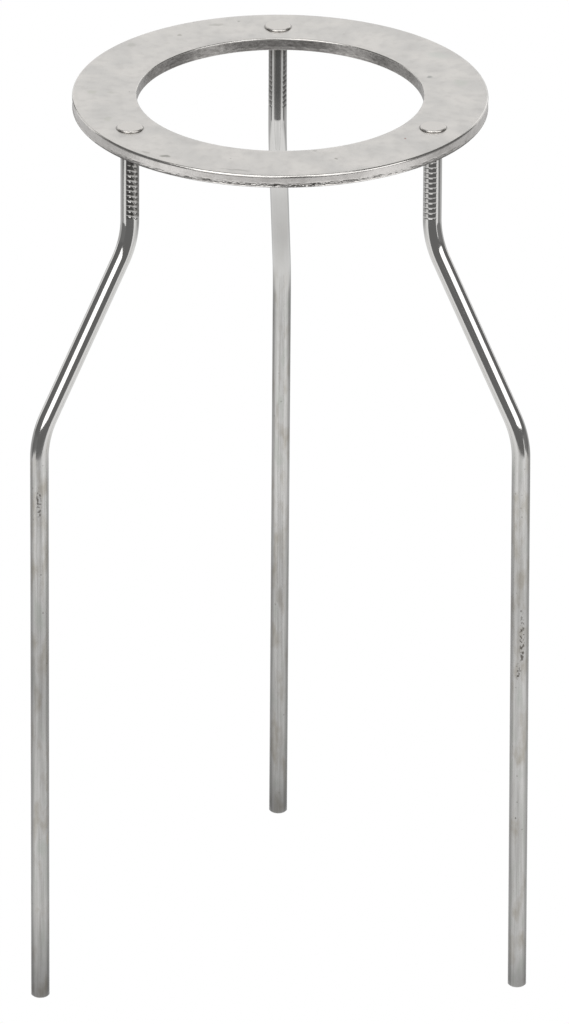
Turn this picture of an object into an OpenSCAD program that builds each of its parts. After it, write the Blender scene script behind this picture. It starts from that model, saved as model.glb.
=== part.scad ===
// Laboratory tripod stand: a flat steel ring riveted onto three cranked rod legs.
// The origin is the centre of the ring's hole, level with the ring's top face. Z points up.

/* [Ring] */
// Outside diameter of the ring
ring_od = 100; // [84:1:150]
// Width of the flat band between the hole and the rim
ring_band = 15.5; // [15:0.5:24]
// Thickness of the sheet
ring_t = 3; // [2:0.1:4]
// Radius of the rolled-over upper rim
rim_round = 0.5; // [0.2:0.1:0.8]
// Radius of the rolled-over upper edge of the hole
hole_round = 0.3; // [0.1:0.1:0.6]
// Height of the broken band at the foot of both sheared edges
break_h = 0.9; // [0.3:0.1:1]
// How far the broken band tapers into the metal
break_in = 0.12; // [0.04:0.02:0.3]

/* [Legs] */
// Height of the ring's top face above the floor
stand_h = 223.5; // [150:0.5:300]
// Diameter of the leg rod
rod_d = 4.5; // [3.7:0.1:5.5]
// Distance from the rim to a leg's axis
leg_inset = 8.2; // [6:0.1:11]
// From the ring's underside down to the corner of the first bend
neck_h = 26; // [16:0.5:40]
// How far the crank carries the leg outwards
crank_out = 24.9; // [10:0.1:35]
// Height between the corners of the two bends
crank_h = 46.4; // [38:0.1:60]
// Centre-line radius of the bends
bend_r = 22; // [8:1:28]
// How much the rod's radius is drawn down through a bend
bend_draw = 0.01; // [0.01:0.01:0.05]
// Height of the eased edge around the foot
foot_ease = 0.3; // [0.1:0.1:0.8]

/* [Rivets] */
// Diameter of the tenon on top of each leg
tenon_d = 3.2; // [2:0.1:3.6]
// Radial gap left between the tenon and its hole
tenon_gap = 0.02; // [0.01:0.01:0.1]
// Diameter of the hammered head
head_d = 6.3; // [5:0.1:7.5]
// Height of the hammered head
head_h = 0.45; // [0.4:0.05:1.2]
// Radius of the head's rounded rim
head_round = 0.35; // [0.1:0.05:0.4]

/* [Jaw prints] */
// Spacing of the prints down the neck
print_pitch = 1.3; // [0.9:0.1:2]
// Depth of the deepest print
print_depth = 0.24; // [0.1:0.02:0.4]
// Depth of the shallowest print, next to the ring
print_faint = 0.06; // [0.02:0.02:0.1]
// Half the angle that a print covers on each side of the rod
print_half_angle = 52; // [30:1:60]
// Plain neck left below the lowest print
print_clear = 0.4; // [0.2:0.1:2]

/* [Hand bending] */
// Turn of each crank away from the radial direction, in degrees: left, right, back
crank_turn = [-1, 0, -3.8]; // [-6:0.1:6]
// Outward splay of each lower shank, in degrees: left, right, back
shank_splay = [0.6, -0.3, 0.2]; // [-3:0.1:3]
// Turn of each second bend about the slanting rod, in degrees: left, right, back
bend_twist = [-2.1, -2.2, -0.3]; // [-6:0.1:6]

/* [Hidden] */
$fn = 72;

LEFT = 0;
RIGHT = 1;
BACK = 2;
leg_angle = [210, 330, 90];
ring_r = ring_od / 2;
hole_r = ring_r - ring_band;
leg_circle_r = ring_r - leg_inset;
rod_r = rod_d / 2;
tenon_r = tenon_d / 2;
head_r = head_d / 2;

// the crank as a straight-line sketch, before its corners are rounded
crank_angle = atan(crank_out / crank_h);
crank_len = norm([crank_out, crank_h]);
neck_straight = neck_h - corner_cut(crank_angle);
shank_drop = stand_h - ring_t - neck_h - crank_h;

print_count = floor((neck_straight - print_clear) / print_pitch);
cut_margin = 1;
joint_depth = 0.3;
ring_steel = [0.80, 0.79, 0.77];
rod_steel = [0.72, 0.72, 0.71];

// length that a bend of this angle takes off each straight at its corner
function corner_cut(angle) = bend_r * tan(angle / 2);

// how far down the shank goes for each millimetre of its own length
function shank_fall(back_angle, twist) =
    cos(crank_angle) * cos(back_angle) + sin(crank_angle) * sin(back_angle) * cos(twist);

function print_depth_at(i) =
    print_faint + (print_depth - print_faint) * i / max(print_count - 1, 1);

// what a rounded corner loses: the corner of a square beyond a quarter circle
module corner_waste(corner_round) {
    difference() {
        square(corner_round + cut_margin);
        circle(corner_round);
    }
}

// a blank with rolled-over upper edges and a broken band that tapers in at the foot of each edge
module ring_section() {
    difference() {
        polygon([
            [hole_r, 0],
            [ring_r, 0],
            [ring_r, break_h - ring_t],
            [ring_r - break_in, -ring_t],
            [hole_r + break_in, -ring_t],
            [hole_r, break_h - ring_t],
        ]);
        translate([ring_r - rim_round, -rim_round])
            corner_waste(rim_round);
        translate([hole_r + hole_round, -hole_round])
            mirror([1, 0])
                corner_waste(hole_round);
    }
}

module top_ring() {
    color(ring_steel)
        difference() {
            rotate_extrude()
                ring_section();
            for (angle = leg_angle)
                rotate([0, 0, angle])
                    translate([leg_circle_r, 0, -ring_t - cut_margin])
                        cylinder(h = ring_t + 2 * cut_margin, r = tenon_r + tenon_gap);
        }
}

// low flat head with a rounded rim, seated on the ring's top face
module rivet_head() {
    rotate_extrude()
        difference() {
            square([head_r, head_h]);
            translate([head_r - head_round, head_h - head_round])
                corner_waste(head_round);
        }
}

// from inside the neck, up through the ring and into the head
module tenon() {
    translate([0, 0, -ring_t - joint_depth])
        cylinder(h = ring_t + joint_depth + head_h / 2, r = tenon_r);
}

// print of one jaw tooth: a sharp groove part of the way round the side of the rod that faces +X
module jaw_tooth(depth) {
    crest_r = rod_r - depth;
    flank = print_pitch / 2;
    rotate_extrude(angle = 2 * print_half_angle, start = -print_half_angle)
        polygon([[crest_r, 0], [crest_r + flank, flank], [crest_r + flank, -flank]]);
}

// straight neck from the shoulder down to the first bend, printed on the two sides that the jaws held
module neck() {
    difference() {
        translate([0, 0, -neck_straight])
            cylinder(h = neck_straight, r = rod_r);
        for (i = [0 : print_count - 1], side = [90, 270])
            rotate([0, 0, side])
                translate([0, 0, -(i + 0.5) * print_pitch])
                    jaw_tooth(print_depth_at(i));
    }
}

// rod that runs down from here and curves towards +X, with both ends set a little way into the straights
module bend(angle) {
    seat_angle = asin(joint_depth / bend_r);
    translate([bend_r, 0, 0])
        rotate([90, 0, 0])
            rotate_extrude(angle = angle + 2 * seat_angle, start = 180 - seat_angle)
                translate([bend_r, 0])
                    circle(rod_r - bend_draw);
}

module after_bend(angle) {
    translate([bend_r * (1 - cos(angle)), 0, -bend_r * sin(angle)])
        rotate([0, -angle, 0])
            children();
}

module rod(length) {
    translate([0, 0, -length])
        cylinder(h = length, r = rod_r);
}

module shank(length) {
    rod(length - foot_ease);
    translate([0, 0, -length])
        cylinder(h = foot_ease, r1 = rod_r - foot_ease, r2 = rod_r);
}

// a whole leg, standing on the +X side of the ring
module leg(which) {
    back_angle = crank_angle - shank_splay[which];
    slant_len = crank_len - corner_cut(crank_angle) - corner_cut(back_angle);
    shank_len = shank_drop / shank_fall(back_angle, bend_twist[which]) - corner_cut(back_angle);
    color(rod_steel)
        rotate([0, 0, leg_angle[which]])
            translate([leg_circle_r, 0, 0])
                rotate([0, 0, crank_turn[which]]) {
                    rivet_head();
                    tenon();
                    translate([0, 0, -ring_t])
                        neck();
                    translate([0, 0, -ring_t - neck_straight]) {
                        bend(crank_angle);
                        after_bend(crank_angle) {
                            rod(slant_len);
                            translate([0, 0, -slant_len])
                                rotate([0, 0, 180 + bend_twist[which]]) {
                                    bend(back_angle);
                                    after_bend(back_angle)
                                        shank(shank_len);
                                }
                        }
                    }
                }
}

module leg_left() {
    leg(LEFT);
}

module leg_right() {
    leg(RIGHT);
}

module leg_back() {
    leg(BACK);
}

top_ring();
leg_left();
leg_right();
leg_back();
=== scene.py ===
import math
import bmesh
import bpy
from mathutils import Matrix, Vector, noise


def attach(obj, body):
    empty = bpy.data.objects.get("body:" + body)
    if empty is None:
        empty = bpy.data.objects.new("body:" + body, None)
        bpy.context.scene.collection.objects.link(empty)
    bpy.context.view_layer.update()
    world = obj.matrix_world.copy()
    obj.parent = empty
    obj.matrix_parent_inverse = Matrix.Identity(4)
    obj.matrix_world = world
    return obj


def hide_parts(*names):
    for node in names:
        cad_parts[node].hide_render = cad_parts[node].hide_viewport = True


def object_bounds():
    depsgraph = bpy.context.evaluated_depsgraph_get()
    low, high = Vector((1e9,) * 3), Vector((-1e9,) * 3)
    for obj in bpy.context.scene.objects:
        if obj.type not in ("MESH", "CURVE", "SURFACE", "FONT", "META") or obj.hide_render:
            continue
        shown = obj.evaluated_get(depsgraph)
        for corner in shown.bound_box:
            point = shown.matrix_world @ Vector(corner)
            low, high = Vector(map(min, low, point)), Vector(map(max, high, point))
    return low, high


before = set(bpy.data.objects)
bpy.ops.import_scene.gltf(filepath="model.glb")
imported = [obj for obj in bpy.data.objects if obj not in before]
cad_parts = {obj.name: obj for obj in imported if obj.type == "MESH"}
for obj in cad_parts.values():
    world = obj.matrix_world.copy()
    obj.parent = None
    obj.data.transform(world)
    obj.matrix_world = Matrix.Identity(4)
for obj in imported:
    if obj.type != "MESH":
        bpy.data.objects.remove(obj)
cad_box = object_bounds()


# ---- Camera ----
# A long lens, well back from the stand and a little above it, so that the uprights stay nearly parallel.
camera_distance = 3.384
camera_height_deg = 24.45
camera_turn_deg = 0.88
camera_roll_deg = 0.27
camera_lens_mm = 489.4
sensor_mm = 36
image_height = 1024
aim_point = Vector((0, 0, -0.1))
aim_across, aim_down = 6.0, 38.9

turn, lift, roll = (math.radians(a) for a in (camera_turn_deg, camera_height_deg, camera_roll_deg))
ahead = Vector((math.sin(turn) * math.cos(lift), math.cos(turn) * math.cos(lift), -math.sin(lift)))
camera_place = aim_point - ahead * camera_distance
right = ahead.cross(Vector((0, 0, 1))).normalized()
up = right.cross(ahead)
right, up = right * math.cos(roll) + up * math.sin(roll), up * math.cos(roll) - right * math.sin(roll)
lens_length = camera_lens_mm / sensor_mm * image_height
sight_line = (ahead + (right * aim_across - up * aim_down) / lens_length).normalized()
right = (right - sight_line * right.dot(sight_line)).normalized()
up = right.cross(sight_line)
camera_data = bpy.data.cameras.new("camera")
camera_data.lens = camera_lens_mm
camera_data.sensor_width = sensor_mm
camera_data.clip_start = 0.1
camera_data.clip_end = 50
camera = bpy.data.objects.new("camera", camera_data)
camera_turned = Matrix((right, up, -sight_line)).transposed().to_4x4()
camera.matrix_world = Matrix.Translation(camera_place) @ camera_turned
bpy.context.scene.collection.objects.link(camera)
bpy.context.scene.camera = camera


# ---- Top ring ----
# A flat washer-shaped plate, blanked and pierced from 3 mm mild steel sheet, drilled for the legs and plated.
# The press rolls its upper edges over, leaves a smooth land below them and tears the last third of the wall.
# The legs' holes are covered from above and below, so they aren't cut here.
MM = 0.001
ring_outer_radius = 50 * MM
ring_hole_radius = 34.5 * MM
ring_thickness = 3 * MM
land_foot = -2.1 * MM
torn_taper = 0.03 * MM
land_lean = 0.096
ring_rim_round = 0.5 * MM
ring_hole_round = 0.3 * MM
ring_sectors = 1200
leg_circle_radius = 41.8 * MM
leg_angles = (210, 330, 90)
tenon_radius = 1.6 * MM

plate = bmesh.new()
outline = [plate.verts.new((radius, 0, height)) for radius, height in (
    (ring_hole_radius, 0),
    (ring_outer_radius, 0),
    (ring_outer_radius, land_foot),
    (ring_outer_radius - torn_taper, -ring_thickness),
    (ring_hole_radius + torn_taper, -ring_thickness),
    (ring_hole_radius, land_foot))]
sides = [plate.edges.new((outline[i - 1], outline[i])) for i in range(len(outline))]
bmesh.ops.spin(plate, geom=outline + sides, cent=(0, 0, 0), axis=(0, 0, 1), angle=math.tau,
               steps=ring_sectors, use_merge=True)


def ring_edges(low, high):
    """The ring's edges whose two ends lie at these (radius, height) places of its section."""
    def at(vertex, spot):
        return math.dist((math.hypot(vertex.co.x, vertex.co.y), vertex.co.z), spot) < 1e-5
    return [e for e in plate.edges if (at(e.verts[0], low) and at(e.verts[1], high))
            or (at(e.verts[0], high) and at(e.verts[1], low))]


for radius, rounding in ((ring_outer_radius, ring_rim_round), (ring_hole_radius, ring_hole_round)):
    bmesh.ops.bevel(plate, geom=ring_edges((radius, 0), (radius, 0)), offset=rounding, offset_type="OFFSET",
                    segments=8, profile=0.5, affect="EDGES", material=-1)
outer_foot = (ring_outer_radius - torn_taper, -ring_thickness)
hole_foot = (ring_hole_radius + torn_taper, -ring_thickness)
for low, high, cuts in (
        ((ring_hole_radius + ring_hole_round, 0), (ring_outer_radius - ring_rim_round, 0), 9),
        ((ring_outer_radius, land_foot), (ring_outer_radius, -ring_rim_round), 8),
        (outer_foot, (ring_outer_radius, land_foot), 7),
        ((ring_hole_radius, land_foot), (ring_hole_radius, -ring_hole_round), 8),
        (hole_foot, (ring_hole_radius, land_foot), 7),
        (hole_foot, outer_foot, 3)):
    bmesh.ops.subdivide_edges(plate, edges=ring_edges(low, high), cuts=cuts, use_grid_fill=True)

# The tearing is ragged. Outside it makes pits as deep as 0.15 mm, most of them across the front, where the
# die was bluntest; the hole's wall is torn more evenly and less deeply, and its even value also paints shade
# over that whole wall.
tear_and_wall_shade = plate.verts.layers.float.new("tear_and_wall_shade")
tear_depth = 0.15 * MM
hole_tear_depth = 0.25 * tear_depth
tear_middle = -2.4 * MM
tear_half_height = 0.5 * MM
pit_length = 1.1 * MM
pit_height = 0.4 * MM
pit_fall, pit_step, pit_octaves = 0.6, 2.2, 4
keen, blunt = 0.22, 0.95
blunt_bearing_deg, blunt_spread_deg = 272, 24
wall_margin = 0.4 * MM
foot_margin = 0.01 * MM
for v in plate.verts:
    radius = math.hypot(v.co.x, v.co.y)
    outside = radius > ring_outer_radius - wall_margin
    inside = radius < ring_hole_radius + wall_margin
    between = -ring_thickness + foot_margin <= v.co.z <= -ring_hole_round
    if not (outside or inside) or not between:
        continue
    spot = (v.co.x / pit_length, v.co.y / pit_length, v.co.z / pit_height)
    ragged = noise.fractal(spot, pit_fall, pit_step, pit_octaves)
    if outside:
        bearing = math.degrees(math.atan2(v.co.y, v.co.x)) % 360
        bluntness = keen + blunt * math.exp(-((bearing - blunt_bearing_deg) / blunt_spread_deg) ** 2)
        band = max(0, 1 - ((v.co.z - tear_middle) / tear_half_height) ** 2)
        v[tear_and_wall_shade] = min(1, max(0, ragged * 1.6 + 0.25) * bluntness * band)
        lean = land_lean * min(max(0, -v.co.z - ring_rim_round), -land_foot - ring_rim_round)
        v.co.xy *= (radius - lean - tear_depth * v[tear_and_wall_shade]) / radius
    else:
        # painted shade: this even value darkens the whole of the hole's wall
        v[tear_and_wall_shade] = min(1, max(0, ragged * 0.13 + 0.43))
        v.co.xy *= (radius + hole_tear_depth * v[tear_and_wall_shade]) / radius
bmesh.ops.recalc_face_normals(plate, faces=plate.faces)
for face in plate.faces:
    face.smooth = True
ring_mesh = bpy.data.meshes.new("ring_plate")
plate.to_mesh(ring_mesh)
plate.free()
ring_plate = bpy.data.objects.new("ring_plate", ring_mesh)
bpy.context.scene.collection.objects.link(ring_plate)


def colour(hex_code):
    """A colour written as sRGB hex, as the linear values that shaders take."""
    parts = [int(hex_code[i:i + 2], 16) / 255 for i in (0, 2, 4)]
    return [c / 12.92 if c <= 0.04045 else ((c + 0.055) / 1.055) ** 2.4 for c in parts] + [1]


def add(tree, kind, inputs=None, **settings):
    """Adds a node with its settings. An input gets a value, or is linked to a socket or to a node's first
    output."""
    node = tree.nodes.new("ShaderNode" + kind)
    for name, value in settings.items():
        setattr(node, name, value)
    for key, value in (inputs or {}).items():
        if isinstance(value, bpy.types.Node):
            value = value.outputs[0]
        if isinstance(value, bpy.types.NodeSocket):
            tree.links.new(value, node.inputs[key])
        else:
            node.inputs[key].default_value = value
    return node


def add_mark(tree, under, place, middle_mm, size_mm, turn_deg, tint, strength):
    """Lays one soft-edged stain or pit over the colours under it."""
    local = add(tree, "Mapping", {
        "Vector": place, "Location": [c * MM for c in middle_mm], "Rotation": (0, 0, math.radians(turn_deg)),
        "Scale": [c * MM for c in size_mm]}, vector_type="TEXTURE")
    reach = add(tree, "VectorMath", {0: local}, operation="LENGTH")
    cover = add(tree, "MapRange", {
        "Value": reach.outputs["Value"], "From Min": 1.0, "From Max": 0.35, "To Max": strength},
        interpolation_type="SMOOTHSTEP")
    return add(tree, "MixRGB", {"Fac": cover, "Color1": under, "Color2": colour(tint)})


# Satin nickel plate on cold-rolled sheet: a warm pale grey with broad blurred reflections, clouded by
# handling, with small stains and pits. The sheared walls are duller, and dark where the plating missed the
# torn pits; the hole's wall is darkened all over with painted shade.
ring_steel = bpy.data.materials.new("satin_nickel_plated_sheet")
ring_steel.use_nodes = True
tree = ring_steel.node_tree
shader = tree.nodes["Principled BSDF"]
shader.inputs["Metallic"].default_value = 1
where = add(tree, "TexCoord")
place = where.outputs["Object"]
cloud_mm, smear_mm, grain_mm = 9, 2.2, 0.35
clouds = add(tree, "TexNoise", {"Vector": place, "Scale": 1 / (cloud_mm * MM), "Detail": 3})
clouded = add(tree, "MapRange", {"Value": clouds, "From Min": 0.38, "From Max": 0.62})
smears = add(tree, "TexNoise", {"Vector": place, "Scale": 1 / (smear_mm * MM), "Detail": 3})
smeared = add(tree, "MapRange", {"Value": smears, "From Min": 0.48, "From Max": 0.68, "To Max": 0.35})
grain = add(tree, "TexNoise", {"Vector": place, "Scale": 1 / (grain_mm * MM), "Detail": 1})
grained = add(tree, "MapRange", {"Value": grain, "From Min": 0.3, "From Max": 0.7, "To Max": 0.16})
tone = add(tree, "MixRGB", {"Fac": clouded, "Color1": colour("cac7c3"), "Color2": colour("c1bfbc")})
tone = add(tree, "MixRGB", {"Fac": smeared, "Color1": tone, "Color2": colour("b2afac")})
tone = add(tree, "MixRGB", {"Fac": grained, "Color1": tone, "Color2": colour("a8a7a4")})
# pits about 0.4 mm across, one in most 6 mm squares
pit_spacing_mm = 6
pits = add(tree, "TexVoronoi", {"Vector": place, "Scale": 1 / (pit_spacing_mm * MM)})
pitted = add(tree, "MapRange", {"Value": pits, "From Min": 0.045, "From Max": 0.02, "To Max": 0.5})
tone = add(tree, "MixRGB", {"Fac": pitted, "Color1": tone, "Color2": colour("6f6c68")})
# single stains with wandering outlines: place on the ring and half sizes in millimetres, turn in degrees,
# colour and strength
wander_mm, stray_mm = 1.5, 1.6
wander = add(tree, "TexNoise", {"Vector": place, "Scale": 1 / (wander_mm * MM), "Detail": 2})
stray = add(tree, "VectorMath", {0: wander.outputs["Color"], 1: (-0.5, -0.5, -0.5)}, operation="ADD")
stray = add(tree, "VectorMath", {0: stray, 3: stray_mm * MM}, operation="SCALE")
loose = add(tree, "VectorMath", {0: place, 1: stray}, operation="ADD")
stain_depth_mm = 3
for x, y, length, width, turn_deg, tint, strength in (
        (36.2, 10.4, 1.0, 0.9, 10, "8d8f8c", 0.8), (29.3, -27.1, 0.45, 0.5, 0, "8f6a62", 0.9),
        (27.9, -17.5, 3.0, 1.6, 20, "8b9088", 0.55), (28.6, -16.9, 0.6, 0.6, 0, "6e716b", 0.7),
        (7.8, -34.9, 0.9, 0.5, 0, "8c8b88", 0.8), (12.7, -39.7, 0.5, 0.6, 0, "86827c", 0.7),
        (-27.9, -37.8, 1.5, 1.1, -20, "77766f", 0.75), (-32.5, -35.5, 1.6, 0.8, -35, "a09d98", 0.6),
        (-24.0, 36.8, 0.9, 0.8, 0, "98968f", 0.8), (-15.0, 43.2, 2.6, 1.0, 5, "a3a29c", 0.6),
        (-9.6, 45.6, 0.5, 0.6, 0, "8f8e89", 0.7), (-35.6, 30.6, 1.6, 1.4, 35, "adaca6", 0.6),
        (-45.2, 1.5, 1.6, 1.6, 0, "b4b4ab", 0.6), (-40.6, 1.0, 1.2, 0.7, 0, "b2b1aa", 0.6),
        (-41.5, -15.0, 1.4, 2.0, 0, "b0b0a8", 0.5), (43.5, 7.0, 2.4, 2.6, 0, "b2b5ae", 0.5),
        (38.5, 24.0, 4.0, 2.4, -30, "b6b9b4", 0.5), (-11.5, -46.2, 5.5, 0.5, -12, "8e8c88", 0.5)):
    tone = add_mark(tree, tone, loose, (x, y, 0), (length, width, stain_depth_mm), turn_deg, tint, strength)
# painted shade: a thin dark line in the crease round each head
seam_radius = 3.2 * MM
seam_faint, seam_full = 0.3 * MM, 0.08 * MM
for angle in leg_angles:
    a = math.radians(angle)
    head_place = (leg_circle_radius * math.cos(a), leg_circle_radius * math.sin(a), 0)
    out_from = add(tree, "VectorMath", {0: place, 1: head_place}, operation="DISTANCE")
    off_seam = add(tree, "Math", {0: out_from.outputs["Value"], 1: seam_radius}, operation="SUBTRACT")
    off_seam = add(tree, "Math", {0: off_seam}, operation="ABSOLUTE")
    seam_shade = add(tree, "MapRange", {
        "Value": off_seam, "From Min": seam_faint, "From Max": seam_full, "To Max": 0.7})
    tone = add(tree, "MixRGB", {"Fac": seam_shade, "Color1": tone, "Color2": colour("6b6966")})
# the walls: a duller, warmer grey, blackened in the torn pits and darkened by painted shade over the whole
# hole's wall
normal = add(tree, "SeparateXYZ", {"Vector": where.outputs["Normal"]})
flatness = add(tree, "Math", {0: normal.outputs["Z"]}, operation="ABSOLUTE")
wall = add(tree, "MapRange", {"Value": flatness, "From Min": 0.5, "From Max": 0.2})
torn_and_shaded = add(tree, "Attribute", attribute_name="tear_and_wall_shade")
wall_tone = add(tree, "MixRGB", {"Fac": smeared, "Color1": colour("dddad7"), "Color2": colour("b3afab")})
wall_tone = add(tree, "MixRGB", {"Fac": grained, "Color1": wall_tone, "Color2": colour("8a8783")})
blackened_and_shaded = add(tree, "MapRange", {
    "Value": torn_and_shaded.outputs["Fac"], "From Min": 0.15, "From Max": 0.6, "To Max": 0.85})
wall_tone = add(tree, "MixRGB", {"Fac": blackened_and_shaded, "Color1": wall_tone, "Color2": colour("4d4a47")})
tone = add(tree, "MixRGB", {"Fac": wall, "Color1": tone, "Color2": wall_tone})
tree.links.new(tone.outputs[0], shader.inputs["Base Color"])
# the rolled rim has been rubbed bright; the walls below it are a little duller again
sheen = add(tree, "MapRange", {
    "Value": clouds, "From Min": 0.3, "From Max": 0.7, "To Min": 0.3, "To Max": 0.37})
rubbed = add(tree, "MapRange", {"Value": flatness, "From Min": 0.995, "From Max": 0.9, "To Max": 0.2})
rim = add(tree, "Math", {0: sheen, 1: rubbed}, operation="SUBTRACT")
dulled = add(tree, "Math", {0: wall, 1: 0.12, 2: rim}, operation="MULTIPLY_ADD")
tree.links.new(dulled.outputs[0], shader.inputs["Roughness"])
relief = add(tree, "Bump", {"Strength": 0.2, "Distance": 0.02 * MM, "Height": grain})
tree.links.new(relief.outputs[0], shader.inputs["Normal"])
ring_mesh.materials.append(ring_steel)

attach(ring_plate, "root")
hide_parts("top_ring")


# ---- Legs ----
# Three lengths of 4.5 mm bright drawn steel rod, nickel plated. Each has a tenon turned on its top, pushed up
# through the ring and hammered over into a flat head, and is bent twice by hand to stand outside the ring.
rod_radius = 2.25 * MM
rod_sides = 96
head_radius = 3.15 * MM
head_height = 0.45 * MM
head_round = 0.35 * MM
round_steps = 8
shoulder_ease = 0.05 * MM
neck_to_corner = 26 * MM
crank_out = 24.9 * MM
crank_drop = 46.4 * MM
bend_radius = 22 * MM
foot_ease = 0.3 * MM
foot_steps = 6
stand_height = 223.5 * MM
crank_angle = math.atan2(crank_out, crank_drop)
print_pitch = 1.31 * MM
print_half_angle_deg = 52
print_fade_deg = 14
print_jitter = 0.07 * MM
plain_below_ring = 0.6 * MM


def corner_cut(angle):
    """How much of each straight a bend of this angle uses up."""
    return bend_radius * math.tan(angle / 2)


def ease(value, low, high):
    """Rises smoothly from 0 at low to 1 at high."""
    t = min(1, max(0, (value - low) / (high - low)))
    return t * t * (3 - 2 * t)


def print_depth(x, y, z, lowest, clear_prints, lean, half_width, depth, bites):
    """How deep the jaws' teeth are printed into the neck here. They held it from its two sides, and may have
    bitten deepest at a few bearings round it."""
    side = 90 if y > 0 else -90
    from_side = math.degrees(math.atan2(y, x)) - side
    nearest = round((z - lowest) / print_pitch)
    slope = lean if y < 0 else -lean
    centre = lowest + nearest * print_pitch + slope * rod_radius * math.radians(from_side)
    centre += print_jitter * noise.noise((nearest * 3.1, side / 40, lean * 9))
    if nearest < 0 or centre > -ring_thickness - plain_below_ring:
        return 0
    across = abs(z - centre) / half_width
    round_rod = (print_half_angle_deg + 3 - abs(from_side)) / print_fade_deg
    clear = 1 - 0.85 * ease(nearest, clear_prints - 1, clear_prints + 3)
    deepest = depth * clear * (1 + 0.5 * noise.noise((nearest * 1.7, side / 30, 4.4 + lean)))
    if bites and y > 0:
        bitten = max(math.exp(-((from_side - middle) / spread) ** 2) for middle, spread in bites)
        deepest *= 0.12 + 0.88 * bitten
    ragged = 1 + 0.35 * noise.noise((x / MM * 1.8, y / MM * 1.8, z / MM * 2.2))
    return max(0, 1 - across) * min(1, max(0, round_rod)) * max(0, deepest) * ragged


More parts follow.
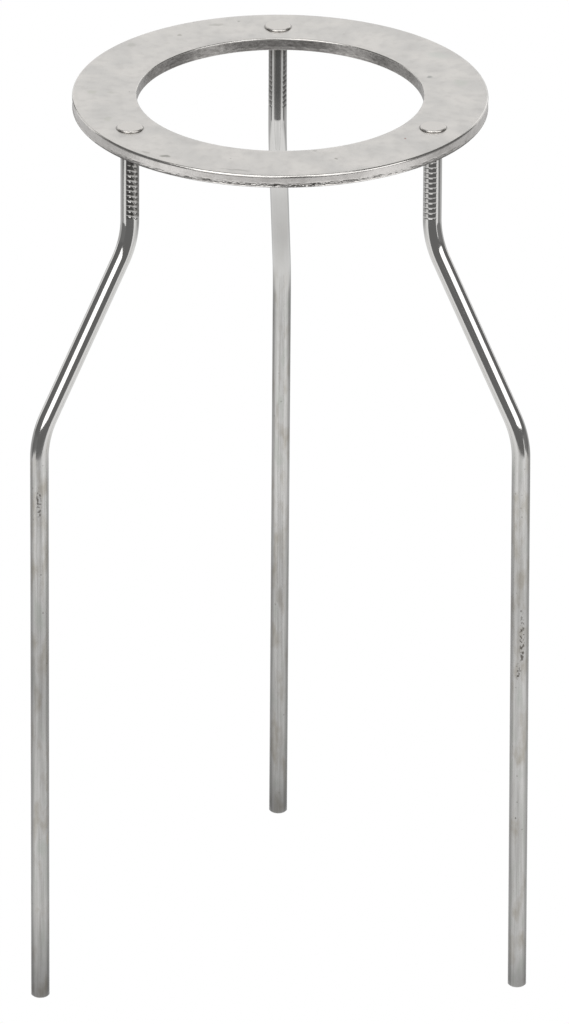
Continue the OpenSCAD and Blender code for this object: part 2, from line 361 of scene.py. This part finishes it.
def rod_leg(name, angle, bends, prints):
    """Draws one leg out from its head to its foot, and returns its mesh. Each vertex keeps its place on the
    rod as it was before bending, and how deeply and how hard the jaws marked it."""
    crank_turn, shank_splay, bend_twist = (math.radians(degrees) for degrees in bends)
    mesh = bmesh.new()
    on_rod = mesh.verts.layers.float_vector.new("rod_place")
    printed = mesh.verts.layers.float.new("print")
    gripped = mesh.verts.layers.float.new("grip")
    here, drawn, size = Matrix.Identity(4), -head_height, 0.2 * MM

    def draw_on(edges, move, length, radius=None):
        """Carries the open end of the rod on to its next place and radius."""
        nonlocal here, drawn, size
        new = bmesh.ops.extrude_edge_only(mesh, edges=edges)["geom"]
        points = [g for g in new if isinstance(g, bmesh.types.BMVert)]
        grow = (radius or size) / size
        after = here @ move
        carry = after @ Matrix.Diagonal((grow, grow, 1, 1)) @ here.inverted()
        bmesh.ops.transform(mesh, matrix=carry, verts=points)
        here, drawn, size = after, drawn + length, radius or size
        for v in points:
            x, y, _ = v[on_rod]
            v[on_rod] = (x * grow, y * grow, -drawn)
        rim = set(points)
        drawn_edges = [g for g in new if isinstance(g, bmesh.types.BMEdge)]
        return [e for e in drawn_edges if e.verts[0] in rim and e.verts[1] in rim]

    def straight(edges, length, steps):
        for _ in range(steps):
            edges = draw_on(edges, Matrix.Translation((0, 0, -length / steps)), length / steps)
        return edges

    def bend(edges, angle, steps):
        centre = Matrix.Translation((bend_radius, 0, 0))
        step = centre @ Matrix.Rotation(-angle / steps, 4, "Y") @ centre.inverted()
        for _ in range(steps):
            edges = draw_on(edges, step, bend_radius * angle / steps)
        return edges

    # the head, from its crown out and round to its seat on the ring
    here = Matrix.Translation((0, 0, head_height))
    bmesh.ops.create_circle(mesh, segments=rod_sides, radius=size, matrix=here)
    edges = list(mesh.edges)
    for v in mesh.verts:
        v[on_rod] = v.co
    bmesh.ops.holes_fill(mesh, edges=edges, sides=rod_sides)
    profile = [(r * MM, head_height) for r in (0.6, 1.0, 1.4, 1.8, 2.2, 2.6)]
    for step in range(round_steps + 1):
        around = step / round_steps * math.pi / 2
        profile.append((head_radius + head_round * (math.sin(around) - 1),
                        head_height + head_round * (math.cos(around) - 1)))
    profile += [(head_radius, 0.05 * MM), (head_radius - 0.03 * MM, 0), (tenon_radius + 0.4 * MM, 0),
                (tenon_radius, 0)]
    for radius, height in profile:
        drop = here.translation.z - height
        edges = draw_on(edges, Matrix.Translation((0, 0, -drop)), drop, radius)
    # the tenon, the shoulder and the neck
    edges = straight(edges, ring_thickness, 3)
    for radius, drop in ((2.0 * MM, 0), (2.2 * MM, 0), (rod_radius, shoulder_ease)):
        edges = draw_on(edges, Matrix.Translation((0, 0, -drop)), drop, radius)
    edges = straight(edges, neck_to_corner - corner_cut(crank_angle) - shoulder_ease, 300)
    lowest_print = prints[0]
    for v in mesh.verts:
        if v.co.z < -ring_thickness - 0.06 * MM:
            inset = print_depth(*v.co, *prints)
            v[printed] = inset
            # the skin is scuffed wherever the jaws held it, but pressed clean inside the prints
            from_side = abs(abs(math.degrees(math.atan2(v.co.y, v.co.x))) - 90)
            v[gripped] = (1 - ease(from_side, 44, 58)) * ease(v.co.z, lowest_print - 0.5 * MM, lowest_print)
            v[gripped] *= 1 - min(1, inset / (0.12 * MM))
            v.co.xy *= 1 - inset / rod_radius
    # the crank: one bend out and, turned round the rod by the twist, one bend back
    back_angle = crank_angle - shank_splay
    slant_length = math.hypot(crank_out, crank_drop) - corner_cut(crank_angle) - corner_cut(back_angle)
    edges = bend(edges, crank_angle, 28)
    edges = straight(edges, slant_length, 42)
    here = here @ Matrix.Rotation(math.pi + bend_twist, 4, "Z")
    edges = bend(edges, back_angle, 28)
    # the shank, down to its eased foot on the floor
    fall = (math.cos(crank_angle) * math.cos(back_angle)
            + math.sin(crank_angle) * math.sin(back_angle) * math.cos(bend_twist))
    shank_drop = stand_height - ring_thickness - neck_to_corner - crank_drop
    edges = straight(edges, shank_drop / fall - corner_cut(back_angle) - foot_ease, 100)
    drop = foot_ease / foot_steps
    for step in range(1, foot_steps + 1):
        edges = draw_on(edges, Matrix.Translation((0, 0, -drop)), drop, rod_radius - step * drop)
    for radius in (1.5 * MM, 0.9 * MM, 0.3 * MM):
        edges = draw_on(edges, Matrix.Identity(4), 0, radius)
    bmesh.ops.holes_fill(mesh, edges=edges, sides=rod_sides)
    stand = (Matrix.Rotation(math.radians(angle), 4, "Z") @ Matrix.Translation((leg_circle_radius, 0, 0))
             @ Matrix.Rotation(crank_turn, 4, "Z"))
    bmesh.ops.transform(mesh, matrix=stand, verts=mesh.verts)
    bmesh.ops.recalc_face_normals(mesh, faces=mesh.faces)
    for face in mesh.faces:
        face.smooth = True
    made = bpy.data.meshes.new(name)
    mesh.to_mesh(made)
    mesh.free()
    return made


# painted shade round the shank, as brightness from the side edge of the bands (0) to their middle (1)
painted_band_shade_levels = ((0.0, 0.34), (0.45, 0.44), (0.65, 0.64), (0.8, 0.9), (0.9, 1.0), (1.0, 0.97))
rod_length_mm = 230


def rod_steel(name, front_deg, grime, painted_shade_along, marks, scrapes):
    """Nickel plate on bright drawn rod. Drawing leaves a near mirror with faint streaks along it; handling
    has since dulled the shank, browned it in patches and pitted it. The head has the ring's satin finish.
    Painted shade darkens the shank's sides in long bands and the rod in stretches along it."""
    material = bpy.data.materials.new(name)
    material.use_nodes = True
    tree = material.node_tree
    shader = tree.nodes["Principled BSDF"]
    shader.inputs["Metallic"].default_value = 1
    place = add(tree, "Attribute", attribute_name="rod_place").outputs["Vector"]
    run = add(tree, "SeparateXYZ", {"Vector": place}).outputs["Z"]
    # the neck and the crank have kept their shine; the shank below them is worn, and it alone takes the
    # painted band shade
    shank_wear_and_shade = add(tree, "MapRange", {"Value": run, "From Min": -78 * MM, "From Max": -92 * MM, "To Min": 0.12})
    # streaks about 0.45 mm wide and 15 mm long: real drawing lines are finer, but would not show
    streak_mm, streak_squash = 0.45, 0.03
    drawn_out = add(tree, "Mapping", {"Vector": place, "Scale": (1, 1, streak_squash)})
    streaks = add(tree, "TexNoise", {"Vector": drawn_out, "Scale": 1 / (streak_mm * MM), "Detail": 2})
    streaked = add(tree, "MapRange", {"Value": streaks, "From Min": 0.42, "From Max": 0.75, "To Max": 0.6})
    streaked = add(tree, "Math", {0: streaked, 1: shank_wear_and_shade}, operation="MULTIPLY")
    # patches of brown and of grey-green, 3 mm across and longer than wide
    patch_mm, patch_squash = 3, 0.4
    blotted = add(tree, "Mapping", {"Vector": place, "Scale": (1, 1, patch_squash)})
    patches = add(tree, "TexNoise", {"Vector": blotted, "Scale": 1 / (patch_mm * MM), "Detail": 4})
    browned = add(tree, "MapRange", {"Value": patches, "From Min": 0.5, "From Max": 0.68, "To Max": 0.65})
    browned = add(tree, "Math", {0: browned, 1: shank_wear_and_shade}, operation="MULTIPLY")
    greened = add(tree, "MapRange", {"Value": patches, "From Min": 0.46, "From Max": 0.3, "To Max": 0.5})
    greened = add(tree, "Math", {0: greened, 1: shank_wear_and_shade}, operation="MULTIPLY")
    tone = add(tree, "MixRGB", {"Fac": streaked, "Color1": colour("cfcecc"), "Color2": colour("a9a7a4")})
    tone = add(tree, "MixRGB", {"Fac": browned, "Color1": tone, "Color2": colour("a8a296")})
    tone = add(tree, "MixRGB", {"Fac": greened, "Color1": tone, "Color2": colour("b6bbb3")})
    speck_spacing_mm = 3.2
    specks = add(tree, "TexVoronoi", {"Vector": place, "Scale": 1 / (speck_spacing_mm * MM)})
    specked = add(tree, "MapRange", {"Value": specks, "From Min": 0.09, "From Max": 0.04, "To Max": 0.4})
    specked = add(tree, "Math", {0: specked, 1: shank_wear_and_shade}, operation="MULTIPLY")
    tone = add(tree, "MixRGB", {"Fac": specked, "Color1": tone, "Color2": colour("6b6660")})
    # the neck just under the ring is darkened brown in blotches
    blotch_mm, scuff_mm, fleck_mm = 1.3, 0.6, 0.65
    under_ring_blotches = add(tree, "TexNoise", {"Vector": place, "Scale": 1 / (blotch_mm * MM), "Detail": 3})
    near_ring = add(tree, "MapRange", {"Value": run, "From Min": -8 * MM, "From Max": -4 * MM, "To Max": 0.9})
    darkened_under_ring = add(tree, "Math", {0: under_ring_blotches, 1: near_ring}, operation="MULTIPLY")
    tone = add(tree, "MixRGB", {"Fac": darkened_under_ring, "Color1": tone, "Color2": colour("6d6558")})
    # the jaws have scuffed the two sides of the neck, and dirt has stayed there and in the deepest prints
    grip = add(tree, "Attribute", attribute_name="grip").outputs["Fac"]
    scuffs = add(tree, "TexNoise", {"Vector": place, "Scale": 1 / (scuff_mm * MM), "Detail": 3})
    scuffed = add(tree, "MapRange", {
        "Value": scuffs, "From Min": 0.3, "From Max": 0.7, "To Min": 0.6 * grime, "To Max": 1.2 * grime})
    scuffed = add(tree, "Math", {0: scuffed, 1: grip}, operation="MULTIPLY", use_clamp=True)
    tone = add(tree, "MixRGB", {"Fac": scuffed, "Color1": tone, "Color2": colour("63605c")})
    prints = add(tree, "Attribute", attribute_name="print").outputs["Fac"]
    dirty = add(tree, "MapRange", {
        "Value": prints, "From Min": 0.05 * MM, "From Max": 0.22 * MM, "To Max": 0.3})
    tone = add(tree, "MixRGB", {"Fac": dirty, "Color1": tone, "Color2": colour("5a5753")})
    # painted shade: long darker bands down the sides of the shank, where its reflections darken, and darker
    # and lighter stretches along the rod
    front = math.radians(front_deg)
    across = (math.cos(front) / rod_radius, math.sin(front) / rod_radius, 0)
    band = add(tree, "VectorMath", {0: place, 1: across}, operation="DOT_PRODUCT")
    band = add(tree, "Math", {0: band.outputs["Value"]}, operation="ABSOLUTE")
    band_shade = add(tree, "ValToRGB", {"Fac": band})
    along = add(tree, "MapRange", {"Value": run, "From Min": 0.0, "From Max": -rod_length_mm * MM})
    shade_along = add(tree, "ValToRGB", {"Fac": along})
    shade_along_levels = [(-run_mm / rod_length_mm, level) for run_mm, level in painted_shade_along]
    for ramp, stops in ((band_shade, painted_band_shade_levels), (shade_along, shade_along_levels)):
        while len(ramp.color_ramp.elements) < len(stops):
            ramp.color_ramp.elements.new(0.5)
        for stop, (spot, level) in zip(ramp.color_ramp.elements, stops):
            stop.position = spot
            stop.color = (level, level, level, 1)
    # painted shade: the darker band sides apply to the shank only
    band_shade = add(tree, "MixRGB", {"Fac": shank_wear_and_shade, "Color1": (1, 1, 1, 1), "Color2": band_shade})
    painted_shade = add(tree, "MixRGB", {"Fac": 1.0, "Color1": band_shade, "Color2": shade_along}, blend_type="MULTIPLY")
    tone = add(tree, "MixRGB", {"Fac": 1.0, "Color1": tone, "Color2": painted_shade}, blend_type="MULTIPLY")
    for middle, size_mm, tint, strength in marks:
        tone = add_mark(tree, tone, place, middle, size_mm, 0, tint, strength)
    # a scraped patch, as a crowd of short dark flecks
    crowd = add(tree, "TexNoise", {"Vector": place, "Scale": 1 / (fleck_mm * MM), "Detail": 3})
    fleck = add(tree, "MapRange", {"Value": crowd, "From Min": 0.51, "From Max": 0.57, "To Max": 0.9})
    for middle, size_mm in scrapes:
        local = add(tree, "Mapping", {
            "Vector": place, "Location": [c * MM for c in middle], "Scale": [c * MM for c in size_mm]},
            vector_type="TEXTURE")
        reach = add(tree, "VectorMath", {0: local}, operation="LENGTH")
        within = add(tree, "MapRange", {"Value": reach.outputs["Value"], "From Min": 1.0, "From Max": 0.6})
        scraped = add(tree, "Math", {0: fleck, 1: within}, operation="MULTIPLY")
        tone = add(tree, "MixRGB", {"Fac": scraped, "Color1": tone, "Color2": colour("5c5853")})
    # the head took the same satin finish as the ring
    head = add(tree, "MapRange", {"Value": run, "From Min": -0.4 * MM, "From Max": -0.05 * MM})
    tone = add(tree, "MixRGB", {"Fac": head, "Color1": tone, "Color2": colour("c5c2be")})
    tree.links.new(tone.outputs[0], shader.inputs["Base Color"])
    rough = add(tree, "Math", {0: head, 1: 0.24, 2: 0.06}, operation="MULTIPLY_ADD")
    rough = add(tree, "Math", {0: shank_wear_and_shade, 1: 0.14, 2: rough}, operation="MULTIPLY_ADD")
    rough = add(tree, "Math", {0: streaked, 1: 0.1, 2: rough}, operation="MULTIPLY_ADD")
    tree.links.new(rough.outputs[0], shader.inputs["Roughness"])
    relief = add(tree, "Bump", {"Strength": 0.12, "Distance": 0.01 * MM, "Height": streaks})
    tree.links.new(relief.outputs[0], shader.inputs["Normal"])
    return material


# Each leg's bends are as the hand left them: turn of the crank, splay of the shank and twist between the two
# bends, in degrees. Its jaw prints are the lowest one's height, how many are clear, how they lean, the half
# width and depth of one, and the bearings and spreads of the deepest bites. Then come the painted shade along
# the rod, as brightness by millimetres along it, its single scars, as place and half sizes in millimetres,
# colour and strength, and its scraped patches, as place and half sizes.
left_bends = (-1, 0.6, -2.1)
left_prints = (-22.4 * MM, 8, 0.3, 0.42 * MM, 0.24 * MM, ((-33, 8), (3, 11)))
left_painted_shade = ((0, 1), (-88, 1), (-93, 1), (-109, 0.92), (-125, 0.79), (-146, 0.64), (-167, 0.8),
                   (-189, 0.84), (-205, 0.83), (-218, 0.57), (-228, 0.38))
left_marks = (
    ((1.58, 1.61, -96.2), (0.3, 0.3, 0.8), "6d6a66", 0.75),
    ((0.99, 2.02, -100.6), (0.35, 0.3, 0.5), "77736d", 0.7),
    ((0.79, 2.11, -116.4), (0.2, 0.2, 0.3), "6d6a66", 0.8),
    ((0.32, 2.23, -126.5), (0.2, 0.2, 0.35), "6d6a66", 0.8),
    ((1.14, 1.94, -210.5), (0.12, 0.12, 7.0), "7d7a74", 0.7),
    ((-0.9, 2.06, -187), (0.5, 0.5, 2.5), "968f82", 0.5),
    ((1.9, 1.2, -148), (0.5, 0.5, 4.0), "8f8d87", 0.5))
left_scrapes = (((1.2, 1.9, -97.5), (0.7, 0.6, 4.5)),)

right_bends = (0, -0.3, -2.2)
right_prints = (-22.75 * MM, 12, 0.06, 0.17 * MM, 0.07 * MM, None)
right_painted_shade = ((0, 1), (-91, 1), (-96, 1), (-110, 0.9), (-127, 0.78), (-148, 0.89), (-169, 0.9),
                    (-191, 0.83), (-207, 0.83), (-220, 0.75), (-227, 0.52))
right_marks = (
    ((1.29, -1.84, -126.7), (0.25, 0.25, 0.4), "66635f", 0.8),
    ((1.69, -1.49, -131.3), (0.25, 0.25, 0.5), "75726c", 0.7),
    ((1.75, -1.42, -134.5), (0.2, 0.2, 0.4), "75726c", 0.7),
    ((1.72, -1.45, -137.8), (0.25, 0.25, 0.4), "75726c", 0.7),
    ((1.19, -1.91, -142.8), (0.6, 0.5, 0.25), "6d6a66", 0.7),
    ((0.43, -2.21, -182.8), (0.25, 0.25, 0.4), "66635f", 0.8),
    ((0.71, -2.13, -171.3), (0.2, 0.2, 0.3), "75726c", 0.7),
    ((0.76, -2.12, -178.4), (0.2, 0.2, 0.3), "75726c", 0.7))
right_scrapes = (((1.55, -1.63, -134.5), (0.75, 0.75, 8.5)), ((0.7, -2.14, -143), (0.7, 0.4, 2.5)))

back_bends = (-3.8, 0.2, -0.3)
back_prints = (-19.8 * MM, 5, 0.2, 0.3 * MM, 0.15 * MM, None)
# painted shade: the back neck is darker for its first 20 mm or so, under the ring
back_painted_shade = ((0, 1), (-3, 0.66), (-16, 0.7), (-24, 1), (-42, 1), (-51, 0.82), (-66, 0.74), (-82, 0.93),
                   (-105, 0.96), (-125, 0.95), (-138, 0.98), (-160, 0.76), (-182, 0.72), (-205, 0.64),
                   (-219, 0.54), (-226, 0.38))
back_marks = (
    ((-2.24, -0.21, -169.2), (0.7, 0.8, 4.0), "8d8a84", 0.55),
    ((-2.1, 0.8, -118), (0.5, 0.5, 3.0), "9a968e", 0.5),
    ((-2.1, -0.8, -196), (0.5, 0.5, 3.0), "8d8a84", 0.5))

left_deg, right_deg, back_deg = leg_angles
for side, angle, bends, prints, grime, painted_shade_along, marks, scrapes in (
        ("left", left_deg, left_bends, left_prints, 0.8, left_painted_shade, left_marks, left_scrapes),
        ("right", right_deg, right_bends, right_prints, 0.25, right_painted_shade, right_marks, right_scrapes),
        ("back", back_deg, back_bends, back_prints, 0.45, back_painted_shade, back_marks, ())):
    name, node = "rod_" + side, "leg_" + side
    leg = bpy.data.objects.new(name, rod_leg(name, angle, bends, prints))
    bpy.context.scene.collection.objects.link(leg)
    # the bearing, on the unbent rod, that ends up facing the front of the stand
    front_deg = 270 - angle - bends[0]
    plating = rod_steel("nickel_plated_" + name, front_deg, grime, painted_shade_along, marks, scrapes)
    leg.data.materials.append(plating)
    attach(leg, "root")
    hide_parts(node)


# ---- Studio ----
# A white table with pale paper round the back of it, a soft light overhead and two upright soft lights in
# front. The room past the table's edges is dark, and shows as the dark bands in the bright metal.
def glow(name, strength, tone_attribute=None):
    """A plain shadeless white, or a grey that follows an attribute."""
    material = bpy.data.materials.new(name)
    material.use_nodes = True
    tree = material.node_tree
    tree.nodes.clear()
    grey = strength
    if tone_attribute:
        grey = add(tree, "Attribute", attribute_name=tone_attribute).outputs["Fac"]
    lit = add(tree, "Emission", {"Color": (1, 1, 1, 1), "Strength": grey})
    add(tree, "OutputMaterial", {"Surface": lit})
    return material


def stage_piece(name, mesh, material):
    """Finishes one surface of the set from its mesh."""
    made = bpy.data.meshes.new(name)
    mesh.to_mesh(made)
    mesh.free()
    made.materials.append(material)
    thing = bpy.data.objects.new(name, made)
    bpy.context.scene.collection.objects.link(thing)
    return thing


def seen_only_in_metal(thing):
    """Keeps a surface of the set for reflections alone."""
    thing.visible_camera = thing.visible_diffuse = False
    thing.visible_shadow = thing.visible_transmission = False


table_height = cad_box[0][2]
table_reach = 12
table_mesh = bmesh.new()
bmesh.ops.create_grid(table_mesh, x_segments=1, y_segments=1, size=table_reach,
                      matrix=Matrix.Translation((0, 0, table_height)))
table = stage_piece("table", table_mesh, glow("white_table", 1.0))
table.visible_glossy = False

# What the metal sees of the table: bright round the stand, a little dimmer close in front of it, greyer far
# behind it, and greyer again in the two places that the ring's walls mirror.
pool_reach = 1.8
pool_drop = 1 * MM
pool = bmesh.new()
bmesh.ops.create_grid(pool, x_segments=240, y_segments=240, size=pool_reach,
                      matrix=Matrix.Translation((0, 0, table_height - pool_drop)))
light = pool.verts.layers.float.new("light")
for v in pool.verts:
    reach = math.hypot(v.co.x, v.co.y)
    ringward = ease(reach, 0.28, 0.33) * (1 - ease(reach, 0.41, 0.44))
    close_in_front = 0.14 * math.exp(-(v.co.x / 0.09) ** 2) * ease(-v.co.y, 0.0, 0.1)
    behind_ring = 0.15 * ease(v.co.y, 0, 0.1) * ringward
    beside_ring = 0.12 * ease(v.co.x, 0.15, 0.28) * ease(v.co.y, -0.24, -0.14) * ringward
    far_behind = 0.42 * ease(v.co.y, -0.08, 0.06) * ease(reach, 0.30, 0.46)
    v[light] = 1.04 - (close_in_front + behind_ring + beside_ring) - far_behind
seen_only_in_metal(stage_piece("table_pool", pool, glow("table_light", 1.0, "light")))

# the dark room past the table's edges, as outlines just above its surface, in metres
room_lift = 0.2 * MM
front_outline = ((-12, -11.2), (-0.327, -0.285), (-0.3, -0.31), (-0.19, -0.368), (-0.09, -0.394), (0, -0.4),
                 (0.09, -0.394), (0.19, -0.368), (0.28, -0.32), (0.31, -0.3), (12, -10.0), (0, -14))
left_outline = ((-0.434, -0.063), (-0.523, -0.072), (-0.523, -0.35), (-0.43, -0.41), (-12, -11.2), (-12, 3.2),
                (-0.52, 0.13), (-0.517, 0.073), (-0.429, 0.055))
right_outline = ((0.436, -0.113), (0.436, 0.071), (0.52, 0.09), (0.52, 0.24), (12, 8.4), (12, -8.2),
                 (0.52, -0.36), (0.52, -0.135))
for name, level, outline in (("room_front", 0.19, front_outline), ("room_left", 0.23, left_outline),
                             ("room_right", 0.27, right_outline)):
    room = bmesh.new()
    bmesh.ops.create_circle(room, cap_ends=True, segments=len(outline), radius=1)
    room.verts.ensure_lookup_table()
    for v, corner in zip(room.verts, outline):
        v.co = (*corner, table_height + room_lift)
    seen_only_in_metal(stage_piece(name, room, glow(name, level)))


def soft_light(name, azimuth, elevation, distance, width, height, radiance, centre=(0, 0, -0.1)):
    """A rectangular soft light facing the stand. Azimuth 0 is the camera's side, positive to its right."""
    data = bpy.data.lights.new(name, "AREA")
    data.shape = "RECTANGLE"
    data.size = width
    data.size_y = height
    data.energy = radiance * math.pi * width * height
    lamp = bpy.data.objects.new(name, data)
    a, e = math.radians(azimuth), math.radians(elevation)
    towards = Vector((math.sin(a) * math.cos(e), -math.cos(a) * math.cos(e), math.sin(e)))
    lamp.matrix_world = (Matrix.Translation(Vector(centre) + towards * distance)
                         @ towards.to_track_quat("Z", "Y").to_matrix().to_4x4())
    bpy.context.scene.collection.objects.link(lamp)
    lamp.visible_camera = False


# name, azimuth, elevation, distance, width, height and radiance
soft_light("left_front", -25, 28, 1.6, 1.29, 1.25, 1.8)
soft_light("right_front", 46.5, 28, 1.6, 1.46, 1.25, 1.8)
soft_light("overhead", 0, 90, 1.2, 1.55, 0.66, 3.2, centre=(-0.23, -0.4, 0))
soft_light("paper_left", -130, 8, 1.4, 0.65, 1.4, 0.9)
soft_light("paper_back", 180, 20, 1.5, 1.6, 2.0, 0.95)
soft_light("paper_right", 140, 8, 1.4, 0.65, 1.4, 0.9)

# white paper for the camera, and a dark room for the metal
world = bpy.data.worlds.new("room")
bpy.context.scene.world = world
world.use_nodes = True
tree = world.node_tree
tree.nodes.clear()
seen = add(tree, "LightPath")
room = add(tree, "Background", {"Color": (0.19, 0.19, 0.19, 1)})
paper = add(tree, "Background", {"Color": (1, 1, 1, 1)})
either = add(tree, "MixShader", {0: seen.outputs["Is Camera Ray"], 1: room, 2: paper})
add(tree, "OutputWorld", {"Surface": either})
bpy.context.scene.view_settings.view_transform = "Standard"
